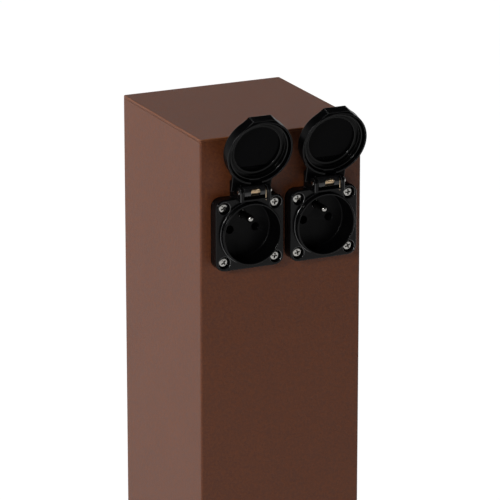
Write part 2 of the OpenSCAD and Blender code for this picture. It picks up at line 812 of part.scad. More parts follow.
module contact(i) {
    length = sleeve_front - block_back - terminal_l;
    color(brass) translate([contact_places[i][0], contact_places[i][1], 0]) {
        terminal(clamp_turns[i]);
        translate([0, 0, block_back + terminal_l - eps]) difference() {
            cylinder(r = sleeve_r, h = length);
            translate([0, 0, 0.8]) cylinder(d = sleeve_bore, h = length);
            translate([0, 0, length]) cube([sleeve_slit, 3 * sleeve_r, 2 * sleeve_slit_l], center = true);
        }
    }
}

module earth_pin() {
    tip = ring_top - earth_tip_drop;
    r = earth_pin_d / 2;
    color(bright_steel) translate([0, earth_rise, 0]) {
        terminal(clamp_turns[0]);
        translate([0, 0, block_back + terminal_l - eps])
            cylinder(r = earth_stem_r, h = floor_z - block_back - terminal_l + eps);
        translate([0, 0, floor_z - eps]) cylinder(r = r, h = tip - r - floor_z + eps);
        translate([0, 0, tip - r]) sphere(r);
        translate([0, 0, floor_back - 3]) cylinder(r = r + 1.1, h = 3);
    }
}

module terminal_screws() {
    core_half = core_d / 2 + 0.1;
    color(bright_steel)
        for (i = [0, 1, 2])
            translate([contact_places[i][0], contact_places[i][1], clamp_z]) rotate([-90 * clamp_turns[i], 0, 0])
                translate([0, 0, terminal_half_h])
                    pan_screw(clamp_d, terminal_half_h - core_half, clamp_head_d, clamp_head_h);
}

module block_screws() {
    color(bright_steel)
        for (place = boss_places)
            translate([place[0], place[1], block_back + block_screw_head_h + 0.2]) rotate([180, 0, 0])
                pan_screw(block_screw_d, block_l - 5, block_screw_head_d, block_screw_head_h);
}

// The shutter: a plate whose two ramps turn the pins' push into a slide downwards
module shutter() {
    front = floor_back - 0.2;
    ramp_w = pin_hole_d + 0.6;
    color(insulation) difference() {
        translate([-shutter_half_w, shutter_bottom, front - shutter_t])
            cube([2 * shutter_half_w, shutter_top - shutter_bottom, shutter_t]);
        for (side = [-1, 1])
            translate([side * pin_spacing / 2, 0, 0]) along_x(ramp_w)
                polygon([[-pin_hole_d / 2, front + eps], [shutter_top + eps, front + eps],
                    [shutter_top + eps, front - shutter_t + 0.5]]);
    }
}

// A compression spring between the shutter and the bottom of its channel
module shutter_spring() {
    coil_r = 1;
    wire_r = 0.17;
    curls = 6;
    top = shutter_bottom - wire_r - 0.05;
    bottom = channel_bottom + wire_r + 0.05;
    mid_z = floor_back - pocket_depth / 2;
    n = curls * 8;
    centres = [for (i = [0 : n]) [coil_r * cos(i * 45), top + (bottom - top) * i / n, mid_z + coil_r * sin(i * 45)]];
    us = [for (i = [0 : n]) [cos(i * 45), 0, sin(i * 45)]];
    vs = [for (i = [0 : n]) [0, -1, 0]];
    color(bright_steel) swept_tube(centres, us, vs, wire_r, 6);
}

module flange_screws() {
    color(bright_steel)
        at_flange_screws() translate([0, 0, head_seat]) pan_screw(screw_d, screw_l, screw_head_d, screw_head_h);
}

module flange_washers() {
    color(zinc) at_flange_screws() translate([0, 0, -post_wall - 0.8]) difference() {
        cylinder(d = screw_d * 2.15, h = 0.8);
        translate([0, 0, -1]) cylinder(d = screw_d + 0.3, h = 3);
    }
}

module flange_nuts() {
    color(zinc) at_flange_screws() translate([0, 0, -post_wall - 0.8 - 3.2]) nut(screw_d * 1.75, 3.2, screw_d);
}

module hinge_pin() {
    left = -ear_out - 0.4;
    right = ear_out + 0.1;
    head_t = 1.5;
    color(bright_steel) translate([left, hinge_y, hinge_z]) rotate([0, 90, 0]) {
        cylinder(d = hinge_pin_d, h = right - left + eps);
        translate([0, 0, right - left]) rotate_extrude() turned_edge(hinge_pin_d * 0.7, head_t, 0.8);
    }
}

// The lid's torsion spring: one unbroken wire with a leg at each end
spring_n = spring_curls * 8;
spring_pitch = (spring_right - spring_left) / spring_curls;
spring_turns = [for (i = [0 : spring_n]) -45 * i];
spring_centres = concat(
    [[spring_left, 2.3, spring_r]],
    [for (i = [0 : spring_n]) [spring_left + spring_pitch * i / 8,
        spring_r * sin(spring_turns[i]), spring_r * cos(spring_turns[i])]],
    [[spring_right, spring_leg_end, spring_r]]);
spring_gap = min([for (i = [0 : len(spring_centres) - 9], j = [i + 5 : len(spring_centres) - 1])
    norm(spring_centres[i] - spring_centres[j])]) - lid_spring_wire;
echo(least_gap_of_lid_spring = spring_gap);

module hinge_spring() {
    angles = concat([0], spring_turns, [0]);
    us = [for (a = angles) [0, sin(a), cos(a)]];
    vs = [for (a = angles) [1, 0, 0]];
    color("#d8c48a") translate([0, hinge_y, hinge_z])
        swept_tube(spring_centres, us, vs, lid_spring_wire / 2, 6);
}

// Lid, drawn shut

// Where the line from a point touches the lid's circle, on the side of +x
function touch(px, py) =
    let (d = norm([px, py]), a = atan2(py, px) - acos(lid_r / d)) [lid_r * cos(a), lid_r * sin(a)];

module neck_outline() {
    t = touch(neck_half_w, neck_corner_y);
    polygon([[0, 0], t, [neck_half_w, neck_corner_y], [neck_half_w, hinge_y + neck_heel],
        [-neck_half_w, hinge_y + neck_heel], [-neck_half_w, neck_corner_y], [-t[0], t[1]]]);
}

// The thumb tab: a flat across the lid's edge, whose flanks meet the lid's circle
module tab_outline() {
    corner = 1;
    root = tab_w / 2 + 4;
    root_y = -sqrt(lid_r * lid_r - root * root);
    edge_y = -lid_r - tab_reach;
    polygon([[-root, 0], [-root, root_y], [-tab_w / 2 - corner / 2, edge_y + corner], [-tab_w / 2 + corner / 2, edge_y],
        [tab_w / 2 - corner / 2, edge_y], [tab_w / 2 + corner / 2, edge_y + corner], [root, root_y], [root, 0]]);
}

module lid() {
    notch_half_w = 4.2;
    color(moulding) opened() difference() {
        union() {
            difference() {
                union() {
                    translate([0, 0, rim_z]) rotate_extrude() turned_edge(lid_r, lid_depth, lid_fillet);
                    translate([0, 0, rim_z + 0.6]) linear_extrude(height = lid_depth - 1.8) tab_outline();
                }
                translate([0, 0, rim_z - 1]) cylinder(r = lid_in_r, h = lid_floor - rim_z + 1);
                translate([-notch_half_w, cup_r, rim_z - 1]) cube([2 * notch_half_w, lid_r, lid_floor - rim_z + 1]);
            }
            translate([0, 0, neck_under]) linear_extrude(height = lid_back - neck_under) neck_outline();
            rotate_extrude() ring_outline(seat_in, seat_out, seat_front, lid_floor + eps);
            translate([(barrel_left + barrel_right) / 2, hinge_y, hinge_z]) rotate([0, 90, 0])
                cylinder(r = barrel_r, h = barrel_right - barrel_left, center = true);
            translate([barrel_left, hinge_y - 3, hinge_z])
                cube([barrel_right - barrel_left, 3 + neck_heel, neck_under - hinge_z + 0.5]);
        }
        translate([0, hinge_y, hinge_z]) rotate([0, 90, 0]) {
            cylinder(d = hinge_pin_d + 2 * hinge_play, h = 4 * ear_out, center = true);
            translate([0, 0, -window_half_w]) cylinder(r = spring_hole_r, h = 3 * ear_out);
        }
        translate([-window_half_w, hinge_y - 2.9, hinge_z - 2 * barrel_r])
            cube([2 * window_half_w, 4.4, 2 * barrel_r - 0.5]);
    }
}

module lid_seal() {
    lip_r = (lip_out - lip_in) / 2;
    color(rubber) opened() rotate_extrude() difference() {
        union() {
            ring_outline(seal_in, seal_out, seal_flat, lid_floor);
            ring_outline(lip_in, lip_out, seal_front + lip_r, lid_floor);
            translate([lip_in + lip_r, seal_front + lip_r]) circle(lip_r);
        }
        ring_outline(seat_in - 0.05, seat_out + 0.05, seat_front - 0.05, lid_floor + 1);
    }
}

post_tube();
top_plate();
base_foot();
foot_screws();
foot_nuts();
terminal_bracket();
terminal_block();
terminal_sleeves();
clamp_screws();
fixing_screws();
earth_stud();
earth_lug();
earth_washer();
earth_nut();
feed_line();
feed_neutral();
feed_earth();
link_line();
link_neutral();
link_earth();
bond_wire();
on_wall(-1) flange_gasket();  // flange_gasket_left
on_wall(1) flange_gasket();  // flange_gasket_right
on_wall(-1) socket_housing();  // socket_housing_left
on_wall(1) socket_housing();  // socket_housing_right
on_wall(-1) contact_block();  // contact_block_left
on_wall(1) contact_block();  // contact_block_right
on_wall(-1) earth_pin();  // earth_pin_left
on_wall(1) earth_pin();  // earth_pin_right
on_wall(-1) contact(1);  // line_contact_left
on_wall(1) contact(1);  // line_contact_right
on_wall(-1) contact(2);  // neutral_contact_left
on_wall(1) contact(2);  // neutral_contact_right
on_wall(-1) terminal_screws();  // terminal_screws_left
on_wall(1) terminal_screws();  // terminal_screws_right
on_wall(-1) block_screws();  // block_screws_left
on_wall(1) block_screws();  // block_screws_right
on_wall(-1) shutter();  // shutter_left
on_wall(1) shutter();  // shutter_right
on_wall(-1) shutter_spring();  // shutter_spring_left
on_wall(1) shutter_spring();  // shutter_spring_right
on_wall(-1) flange_screws();  // flange_screws_left
on_wall(1) flange_screws();  // flange_screws_right
on_wall(-1) flange_washers();  // flange_washers_left
on_wall(1) flange_washers();  // flange_washers_right
on_wall(-1) flange_nuts();  // flange_nuts_left
on_wall(1) flange_nuts();  // flange_nuts_right
on_wall(-1) hinge_pin();  // hinge_pin_left
on_wall(1) hinge_pin();  // hinge_pin_right
on_wall(-1) hinge_spring();  // hinge_spring_left
on_wall(1) hinge_spring();  // hinge_spring_right
on_wall(-1) lid();  // lid_left
on_wall(1) lid();  // lid_right
on_wall(-1) lid_seal();  // lid_seal_left
on_wall(1) lid_seal();  // lid_seal_right
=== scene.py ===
# %% [markdown]
# # A garden socket post
#
# A sheet-metal post stands in a garden and carries two panel sockets near its top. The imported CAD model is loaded
# first and stays where it is. Blender then adds softer edges, rounder screws, wound springs, finishes, light and a
# camera, all in the same frame and in metres: +Z is up, and the sockets face -Y.

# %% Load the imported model
import json
import math

import bmesh
import bpy
from mathutils import Matrix, Vector
from mathutils.bvhtree import BVHTree
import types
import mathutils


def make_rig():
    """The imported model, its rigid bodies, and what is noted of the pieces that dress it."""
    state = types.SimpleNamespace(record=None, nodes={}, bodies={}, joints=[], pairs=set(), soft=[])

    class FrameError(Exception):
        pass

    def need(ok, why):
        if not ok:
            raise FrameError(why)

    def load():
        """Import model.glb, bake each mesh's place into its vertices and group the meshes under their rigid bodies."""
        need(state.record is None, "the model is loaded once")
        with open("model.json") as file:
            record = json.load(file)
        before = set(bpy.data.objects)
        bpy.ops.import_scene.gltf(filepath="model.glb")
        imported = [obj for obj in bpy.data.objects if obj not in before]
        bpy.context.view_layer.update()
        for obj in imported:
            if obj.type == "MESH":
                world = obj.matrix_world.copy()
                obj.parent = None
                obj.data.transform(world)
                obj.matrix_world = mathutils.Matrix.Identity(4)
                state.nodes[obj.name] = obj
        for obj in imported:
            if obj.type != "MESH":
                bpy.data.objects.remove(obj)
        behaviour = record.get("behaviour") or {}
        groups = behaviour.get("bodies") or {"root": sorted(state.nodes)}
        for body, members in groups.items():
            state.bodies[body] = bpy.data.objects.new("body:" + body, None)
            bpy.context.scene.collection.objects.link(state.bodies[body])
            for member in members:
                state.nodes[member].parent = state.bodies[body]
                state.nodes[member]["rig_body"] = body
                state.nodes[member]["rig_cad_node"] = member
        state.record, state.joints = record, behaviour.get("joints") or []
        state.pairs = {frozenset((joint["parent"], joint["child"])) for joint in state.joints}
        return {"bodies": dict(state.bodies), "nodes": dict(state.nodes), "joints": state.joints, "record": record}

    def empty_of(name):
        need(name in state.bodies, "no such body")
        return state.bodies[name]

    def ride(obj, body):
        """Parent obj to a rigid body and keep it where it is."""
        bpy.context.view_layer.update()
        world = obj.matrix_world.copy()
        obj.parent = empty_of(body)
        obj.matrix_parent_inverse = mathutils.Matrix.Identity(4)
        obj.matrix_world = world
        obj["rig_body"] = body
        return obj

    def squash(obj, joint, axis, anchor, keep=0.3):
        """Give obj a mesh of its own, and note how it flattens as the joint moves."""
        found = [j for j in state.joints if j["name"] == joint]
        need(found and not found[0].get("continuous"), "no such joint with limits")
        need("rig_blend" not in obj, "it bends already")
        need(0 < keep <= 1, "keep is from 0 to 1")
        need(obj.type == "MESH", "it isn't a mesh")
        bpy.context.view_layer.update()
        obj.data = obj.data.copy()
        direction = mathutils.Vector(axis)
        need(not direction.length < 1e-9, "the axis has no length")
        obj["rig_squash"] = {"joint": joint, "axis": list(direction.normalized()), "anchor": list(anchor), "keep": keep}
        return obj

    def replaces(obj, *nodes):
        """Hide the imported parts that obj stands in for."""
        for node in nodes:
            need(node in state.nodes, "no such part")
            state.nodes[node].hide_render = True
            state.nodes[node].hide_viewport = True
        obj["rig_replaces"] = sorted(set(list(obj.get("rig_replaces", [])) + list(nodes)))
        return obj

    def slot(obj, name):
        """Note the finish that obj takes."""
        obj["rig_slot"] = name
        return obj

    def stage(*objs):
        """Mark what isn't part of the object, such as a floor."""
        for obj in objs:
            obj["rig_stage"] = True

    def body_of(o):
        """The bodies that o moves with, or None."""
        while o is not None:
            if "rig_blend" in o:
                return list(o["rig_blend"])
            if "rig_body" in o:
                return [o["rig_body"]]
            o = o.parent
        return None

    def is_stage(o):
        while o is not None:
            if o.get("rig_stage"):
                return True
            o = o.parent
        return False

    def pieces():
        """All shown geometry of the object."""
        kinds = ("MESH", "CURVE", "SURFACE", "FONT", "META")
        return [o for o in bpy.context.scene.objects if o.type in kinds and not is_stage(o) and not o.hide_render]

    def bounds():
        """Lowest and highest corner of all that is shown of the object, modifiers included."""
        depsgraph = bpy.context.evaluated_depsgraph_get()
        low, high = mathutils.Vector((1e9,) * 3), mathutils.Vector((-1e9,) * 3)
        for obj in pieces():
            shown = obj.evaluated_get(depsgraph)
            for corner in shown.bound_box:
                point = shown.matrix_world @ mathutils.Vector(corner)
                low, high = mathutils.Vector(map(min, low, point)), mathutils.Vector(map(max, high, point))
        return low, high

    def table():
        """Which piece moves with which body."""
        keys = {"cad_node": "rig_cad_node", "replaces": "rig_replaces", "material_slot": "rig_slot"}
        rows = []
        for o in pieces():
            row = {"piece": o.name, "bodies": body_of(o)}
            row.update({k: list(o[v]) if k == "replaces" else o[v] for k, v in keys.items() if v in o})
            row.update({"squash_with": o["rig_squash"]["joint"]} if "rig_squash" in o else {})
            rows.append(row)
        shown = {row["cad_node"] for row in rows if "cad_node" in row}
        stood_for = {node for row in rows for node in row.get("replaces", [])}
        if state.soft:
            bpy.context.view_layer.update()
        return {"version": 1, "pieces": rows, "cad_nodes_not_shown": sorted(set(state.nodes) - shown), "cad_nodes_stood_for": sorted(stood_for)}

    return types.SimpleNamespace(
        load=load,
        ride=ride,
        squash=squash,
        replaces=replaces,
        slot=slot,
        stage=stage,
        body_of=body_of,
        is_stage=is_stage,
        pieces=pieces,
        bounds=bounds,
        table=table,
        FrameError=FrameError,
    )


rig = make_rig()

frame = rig.load()
cad_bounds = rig.bounds()
scene = bpy.context.scene
print("bodies", sorted(frame["bodies"]), "nodes", len(frame["nodes"]))

# %% [markdown]
# ## The camera
#
# The photograph was taken from above and from the left, with a long lens. Its viewing angle was solved from the
# post's edges and the sockets' screws. A camera can be turned towards a target with a constraint, but a matrix built
# from three directions is exact and stays put.

# %% Place the camera
POST_TOP = 0.5
TURN, LIFT = math.radians(-25.04), math.radians(17.24)
SHIFT_RIGHT, SHIFT_UP, DISTANCE = 0.00636, -0.0980, 2.4926
LENS_MM = 261.2

away = Vector((math.sin(TURN) * math.cos(LIFT), -math.cos(TURN) * math.cos(LIFT), math.sin(LIFT)))
right = Vector((0, 0, 1)).cross(away).normalized()
above = away.cross(right)
camera = bpy.data.objects.new("camera", bpy.data.cameras.new("camera"))
scene.collection.objects.link(camera)
place = Vector((0, 0, POST_TOP)) + right * SHIFT_RIGHT + above * SHIFT_UP + away * DISTANCE
camera.matrix_world = Matrix.Translation(place) @ Matrix((right, above, away)).transposed().to_4x4()
camera.data.lens = LENS_MM
camera.data.clip_start, camera.data.clip_end = 0.05, 50
scene.camera = camera
print("camera at", tuple(round(c, 3) for c in place))

# %% [markdown]
# ## Node trees as formulas
#
# A material or a geometry tree is a small machine of nodes. Written out by hand it soon hides the idea, so two
# classes keep the sums readable. `Value` wraps a socket and lets a pattern be written as a formula. `Tree` adds any
# node with its settings and inputs in one call, for shaders and for geometry alike.

# %% Sums on sockets
class Value:
    """A number that varies over the surface. Sums on it add Math nodes."""

    def __init__(self, tree, socket):
        self.tree, self.socket = tree, socket

    def _sum(self, operation, a, b):
        return self.tree.node("ShaderNodeMath", {"operation": operation}, {0: a, 1: b})

    def __add__(self, other):
        return self._sum("ADD", self, other)

    def __radd__(self, other):
        return self._sum("ADD", other, self)

    def __sub__(self, other):
        return self._sum("SUBTRACT", self, other)

    def __mul__(self, other):
        return self._sum("MULTIPLY", self, other)


class Tree:
    """Adds nodes to a tree. An input is a constant, or a Value to link."""

    def __init__(self, tree):
        self.tree = tree

    def node(self, kind, settings=None, inputs=None, output=0):
        made = self.tree.nodes.new(kind)
        for key, value in (settings or {}).items():
            setattr(made, key, value)
        for key, value in (inputs or {}).items():
            if isinstance(value, Value):
                self.tree.links.new(value.socket, made.inputs[key])
            else:
                made.inputs[key].default_value = value
        return Value(self, made.outputs[output])


print("ready:", Value.__name__, Tree.__name__)

# %% [markdown]
# ## Finishes
#
# Every finish is procedural and uses Object coordinates, so no picture is needed and the grain has a real size. It
# could also be a bought or painted texture, but that would have to be unwrapped onto each piece. A finish here is one
# Principled shader, and a few noises in millimetres that feed its colour, its roughness and its bumps.

# %% One material and its patterns
MM = 0.001


def linear(*rgb):
    """A colour as it looks on screen, from 0 to 255, as the linear numbers that a shader takes."""
    parts = [c / 255 for c in rgb]
    return tuple(c / 12.92 if c <= 0.04045 else ((c + 0.055) / 1.055) ** 2.4 for c in parts) + (1,)


class Finish(Tree):
    """One material: a Principled shader, its fixed sockets, and the patterns that feed it."""

    def __init__(self, name, **fixed):
        self.material = bpy.data.materials.new(name)
        self.material.use_nodes = True
        super().__init__(self.material.node_tree)
        self.shader = self.tree.nodes["Principled BSDF"]
        for socket, value in fixed.items():
            self.shader.inputs[socket.replace("_", " ")].default_value = value
        self.place = self.node("ShaderNodeTexCoord", output="Object")

    def noise(self, size_mm, detail=2.0, roughness=0.5, stretch=(1, 1, 1)):
        """Cloudy values round 0.5 whose spots are about size_mm across."""
        place = self.node("ShaderNodeMapping", {}, {"Vector": self.place, "Scale": stretch})
        return self.node("ShaderNodeTexNoise", {}, {"Vector": place, "Scale": 1000 / size_mm, "Detail": detail,
                                                    "Roughness": roughness})

    def between(self, mask, low, high):
        """Two colours, mixed by a mask."""
        return self.node("ShaderNodeMix", {"data_type": "RGBA", "clamp_factor": True},
                         {"Factor": mask, 6: low, 7: high}, output=2)

    def feed(self, socket, value):
        self.tree.links.new(value.socket, self.shader.inputs[socket])

    def bumps(self, height, depth_mm, strength=1.0):
        normal = self.node("ShaderNodeBump", {}, {"Height": height, "Distance": depth_mm * MM, "Strength": strength})
        self.feed("Normal", normal)


print("a middle grey of 128 is", round(linear(128, 128, 128)[0], 3), "to a shader")

# %% [markdown]
# ## The powder coat
#
# The post is sprayed with a brown polyester powder and baked, which leaves a fine sandy texture. It is the finish that
# fills most of the picture. One noise makes the sand: it lifts the bumps, roughens the gloss and changes the brown a
# little from grain to grain. A second, slow noise keeps the large faces from looking like flat colour.

# %% Powder coat
def powder_coat(name, dark, pale):
    """Brown polyester powder with a fine sandy texture, over steel."""
    f = Finish(name, IOR=1.45, Specular_IOR_Level=0.62)
    grain = f.noise(1.6, detail=4, roughness=0.75)
    cloud = f.noise(45, detail=2)
    shade = (grain - 0.5) * 3 + 0.5 + (cloud - 0.5) * 0.3
    f.feed("Base Color", f.between(shade, linear(*dark), linear(*pale)))
    f.feed("Roughness", 0.38 + grain * 0.34)
    f.bumps(grain, 0.25, 1.0)
    return f.material


finish = {"post_paint": powder_coat("powder_coat", (93, 42, 9), (123, 63, 25))}
print("coat", finish["post_paint"].name)

# %% [markdown]
# ## Mouldings, rubber and insulation
#
# Housings, lids, gaskets and wire coats are all moulded, so one function makes them: a faint haze in colour and gloss,
# and a very fine grain. The blacks are told apart by how rough they are and how much they shine.

# %% Mouldings
GRAIN_MM, GRAIN_DEPTH_MM, GRAIN_STRENGTH = 0.3, 0.004, 0.4


def moulding(name, dark, pale, rough, shine=0.5):
    """A moulded part between two colours."""
    f = Finish(name, IOR=1.45, Specular_IOR_Level=shine)
    haze = f.noise(7, detail=3)
    f.feed("Base Color", f.between(haze, linear(*dark), linear(*pale)))
    f.feed("Roughness", rough + (haze - 0.5) * 0.15)
    f.bumps(f.noise(GRAIN_MM, detail=2), GRAIN_DEPTH_MM, GRAIN_STRENGTH)
    return f.material


finish |= {
    "black_moulding": moulding("black_moulding", (9, 9, 10), (15, 15, 16), 0.2, 0.15),
    "inner_moulding": moulding("inner_moulding", (6, 6, 7), (10, 10, 11), 0.4, 0.1),
    "block_moulding": moulding("block_moulding", (196, 198, 200), (214, 216, 217), 0.42),
    "gasket_rubber": moulding("gasket_rubber", (4, 4, 4), (6, 6, 6), 0.13, 0.1),
    "brown_insulation": moulding("brown_insulation", (84, 46, 26), (100, 58, 34), 0.35),
    "blue_insulation": moulding("blue_insulation", (34, 74, 140), (46, 90, 160), 0.35),
    "green_insulation": moulding("green_insulation", (84, 140, 48), (100, 156, 60), 0.35),
}
print("with mouldings", len(finish))

# %% [markdown]
# ## Metals
#
# Screws and pins are bright steel, the brackets are zinc sheet, and the contacts and the lids' springs are brass. A
# metal has no colour under its gloss, so the same function only tints the reflection and makes its sheen uneven. The
# sheet's noise is stretched along the rolling direction.

# %% Bare metals
def bare_metal(name, dark, pale, rough, streak=(1, 1, 1)):
    """Plated or drawn metal with a slightly uneven sheen."""
    f = Finish(name, Metallic=1.0)
    haze = f.noise(2.5, detail=3, stretch=streak)
    f.feed("Base Color", f.between(haze, linear(*dark), linear(*pale)))
    f.feed("Roughness", rough + (haze - 0.5) * 0.2)
    f.bumps(f.noise(0.4, detail=3, stretch=streak), 0.01, 0.35)
    return f.material


finish |= {
    "bright_steel": bare_metal("bright_steel", (138, 136, 132), (178, 176, 172), 0.14),
    "zinc_sheet": bare_metal("zinc_sheet", (150, 153, 157), (200, 203, 206), 0.38, streak=(1, 1, 6)),
    "brass": bare_metal("brass", (170, 132, 62), (208, 170, 96), 0.3),
    "spring_brass": bare_metal("spring_brass", (200, 174, 140), (226, 204, 172), 0.32),
}
print("with metals", len(finish))

# %% [markdown]
# ## Every node gets its finish
#
# The record gives each node a material slot. So the whole CAD model is finished in one loop, and a piece that Blender
# makes later asks for the finish of the node that it stands for.

# %% Finish the CAD nodes by slot
subparts = {s["node"]: s for s in frame["record"]["subparts"]}
for name, node in frame["nodes"].items():
    node.data.materials.clear()
    node.data.materials.append(finish[subparts[name]["material_slot"]])
print("finished nodes", len(frame["nodes"]))

# %% [markdown]
# ## From a mesh to a piece
#
# Each piece that Blender adds stands for one CAD node. It rides on the same body, so it moves with the lid or stays
# with the post, and it hides the node that it replaces. One function does all of that for every piece.

# %% Add a piece in place of a CAD node
body_of = {node: body for body, nodes in frame["record"]["behaviour"]["bodies"].items() for node in nodes}
SMOOTH_UNDER = math.radians(13)


def add_piece(name, mesh, node, materials=None):
    """Links a finished mesh as the piece that replaces a CAD node. Its faces keep their material numbers."""
    mesh.name = name
    materials = materials or [finish[subparts[node]["material_slot"]]]
    numbers = [min(face.material_index, len(materials) - 1) for face in mesh.polygons]
    mesh.materials.clear()
    for material in materials:
        mesh.materials.append(material)
    mesh.polygons.foreach_set("material_index", numbers)
    piece = bpy.data.objects.new(name, mesh)
    scene.collection.objects.link(piece)
    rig.ride(piece, body_of[node])
    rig.replaces(piece, node)
    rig.slot(piece, subparts[node]["material_slot"])
    return piece


def smooth(mesh, under=SMOOTH_UNDER):
    """Smooth shading, except across edges sharper than the given angle."""
    mesh.shade_smooth()
    mesh.set_sharp_from_angle(angle=under)


def made_so_far():
    """How many CAD nodes have a piece in their place."""
    return len(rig.table()["cad_nodes_stood_for"])


print("bodies to ride", sorted(set(body_of.values())))


# %% [markdown]
# ## Soft edges
#
# No moulded edge is a knife edge, and it is the small round on it that catches the light. The bevel tool can do this
# by itself, but on a part with fine details its own limit makes every bevel as narrow as the finest one needs. So the
# limit is off, narrow faces are left alone, and a second try leaves out the few edges where the first one tore.

# %% Whole faces out of loose triangles
MERGE, FLAT = 3e-5, math.radians(0.4)
ROOM = 2.5


def whole_faces(node):
    """The CAD mesh with its corners merged and its flat triangles joined: an imported mesh has them all loose."""
    work = bmesh.new()
    work.from_mesh(frame["nodes"][node].data)
    bmesh.ops.remove_doubles(work, verts=work.verts, dist=MERGE)
    bmesh.ops.dissolve_degenerate(work, edges=work.edges, dist=MERGE)
    bmesh.ops.dissolve_limit(work, angle_limit=FLAT, verts=work.verts, edges=work.edges)
    return work


def has_room(edge, width):
    """Whether both faces at an edge are wide enough to lose a strip."""
    start = edge.verts[0].co
    along = (edge.verts[1].co - start).normalized()
    return all(max((v.co - start).cross(along).length for v in face.verts) > ROOM * width for face in edge.link_faces)


trial = whole_faces("top_plate")
print("top plate:", len(frame["nodes"]["top_plate"].data.polygons), "triangles,", len(trial.faces), "whole faces")
trial.free()


# %% Bevel the sharp edges of a CAD piece
SHARP_OVER, STRIPS = math.radians(28), 3
NO_AREA, TURNED_OVER = 1e-10, -0.2


def torn_spots(work, surface, width):
    """Where a bevelled mesh left the surface that it came from, or turned a face over."""
    spots = [v.co.copy() for v in work.verts if surface.find_nearest(v.co)[3] > 0.5 * width]
    for face in work.faces:
        spot, normal = surface.find_nearest(face.calc_center_median())[:2]
        if face.calc_area() > NO_AREA and normal.dot(face.normal) < TURNED_OVER:
            spots.append(spot)
    return spots


def softened(node, width_mm, edge=0):
    """A mesh like the CAD node's, with rounded edges in the material with the number edge."""
    width = width_mm * MM
    first = whole_faces(node)
    surface = BVHTree.FromBMesh(first)
    first.free()
    torn = []
    for attempt in range(2):
        work = whole_faces(node)
        sharp = [e for e in work.edges if len(e.link_faces) == 2 and has_room(e, width)
                 and e.calc_face_angle() > SHARP_OVER
                 and not any((v.co - spot).length < ROOM * width for v in e.verts for spot in torn)]
        bmesh.ops.bevel(work, geom=sharp, offset=width, offset_type="OFFSET", segments=STRIPS, profile=0.5,
                        affect="EDGES", clamp_overlap=False, material=edge)
        work.normal_update()
        if attempt == 0:
            torn = torn_spots(work, surface, width)
            work.free()
    mesh = bpy.data.meshes.new(node)
    work.to_mesh(mesh)
    work.free()
    smooth(mesh)
    print(node, "rounded edges", len(sharp), "left out near", len(torn), "spots")
    return mesh


# %% [markdown]
# ## Places on the wall and on the open lid
#
# A socket is easiest to think about lying on its back, with its own axes: x to the right, y up, z out of the wall.
# One matrix takes it to the post's wall, and a second one also swings it open with its lid. The same matrices, turned
# round, say where a face of the CAD model lies on its socket.

# %% Matrices for sockets and lids
SIDES = {"left": -1, "right": 1}
SOCKET_Z, FRONT_Y, SOCKET_X = 0.434, -0.065, 0.0275
joints = {joint["name"]: joint for joint in frame["record"]["behaviour"]["joints"]}


def on_wall(side):
    """From a socket's own axes to the object's."""
    return Matrix.Translation((SIDES[side] * SOCKET_X, FRONT_Y, SOCKET_Z)) @ Matrix.Rotation(math.pi / 2, 4, "X")


def on_open_lid(side):
    """The same, for pieces drawn on the shut lid: the lid stands open by its joint's whole range."""
    joint = joints[f"lid_{side}_hinge"]
    hinge = Vector(joint["pos_m"])
    swing = Matrix.Rotation(-math.radians(joint["range_deg"][1]), 4, "X")
    return Matrix.Translation(hinge) @ swing @ Matrix.Translation(-hinge) @ on_wall(side)


def off_axis(place, joint):
    """How far a place is from a joint's axis."""
    return (place - Vector(joints[joint]["pos_m"])).cross(Vector(joints[joint]["axis"]).normalized()).length


print("left socket at", tuple(round(c, 4) for c in on_wall("left").translation))

# %% [markdown]
# ## Finishes for a part of a piece
#
# A moulding is one black all over, but some faces get a second finish with light or shade painted in. The sockets'
# edges get a paler grey with strong shine and the hinge's barrel a paler grey, both as painted highlights; the lids'
# edges get a little more shine. The insides of the lids get a darker black with almost no shine, as painted shade. The
# post's top edge gets a paler, warmer brown as a painted highlight. These places get the second finish on the same
# piece, chosen for each face by its material number. A painted mask could do this too, but a number for each face
# needs no picture and comes through an export as it is.

# %% Edges, barrels and insides
# A paler, warmer brown for the post's top edge, as a painted highlight.
thin_paint = powder_coat("thin_paint", (120, 62, 22), (150, 88, 46))
# A paler grey with strong shine for the sockets' rounded edges, as a painted highlight.
socket_edge = moulding("socket_edge", (30, 30, 31), (50, 50, 52), 0.2, 0.9)
lid_edge = moulding("lid_edge", (10, 10, 11), (17, 17, 18), 0.2, 0.25)
# A darker black with almost no shine for the insides of the lids, as painted shade.
painted_lid_shade = moulding("lid_moulding", (5, 5, 6), (8, 8, 9), 0.3, 0.03)
# A paler grey for the hinge's barrel, as a painted highlight.
painted_barrel_highlight = moulding("barrel_moulding", (24, 24, 25), (36, 36, 37), 0.25, 0.5)
EDGE = 1
print("materials in all", len(bpy.data.materials))

# %% [markdown]
# ## The earth pins
#
# On the real socket the earth pin comes out of a snug hole in the cup's floor. The CAD pin has a step there, and the
# step would show as a bright ring. So the pin keeps its shape, and only its step is moved down, out of sight. Moving a
# few points of a copy is simpler than drawing the pin again.

# %% Sink the pins' step
PIN_STEP_MM, PIN_STEP_SUNK_MM = -3, 1.6
SAME_SPOT, SAME_HEIGHT = 2e-6, 5e-5


def sunk_step(node, place, height_mm, by_mm):
    """A mesh like the CAD node's, with all that lies at one height moved down."""
    work = bmesh.new()
    work.from_mesh(frame["nodes"][node].data)
    bmesh.ops.remove_doubles(work, verts=work.verts, dist=SAME_SPOT)
    for vert in work.verts:
        local = place.inverted() @ vert.co
        if abs(local.z - height_mm * MM) < SAME_HEIGHT:
            vert.co = place @ (local - Vector((0, 0, by_mm * MM)))
    mesh = bpy.data.meshes.new(node)
    work.to_mesh(mesh)
    work.free()
    smooth(mesh)
    return mesh


for side in SIDES:
    pin = sunk_step(f"earth_pin_{side}", on_wall(side), PIN_STEP_MM, PIN_STEP_SUNK_MM)
    add_piece(f"earth_contact_{side}", pin, f"earth_pin_{side}")
print("nodes stood for:", made_so_far())
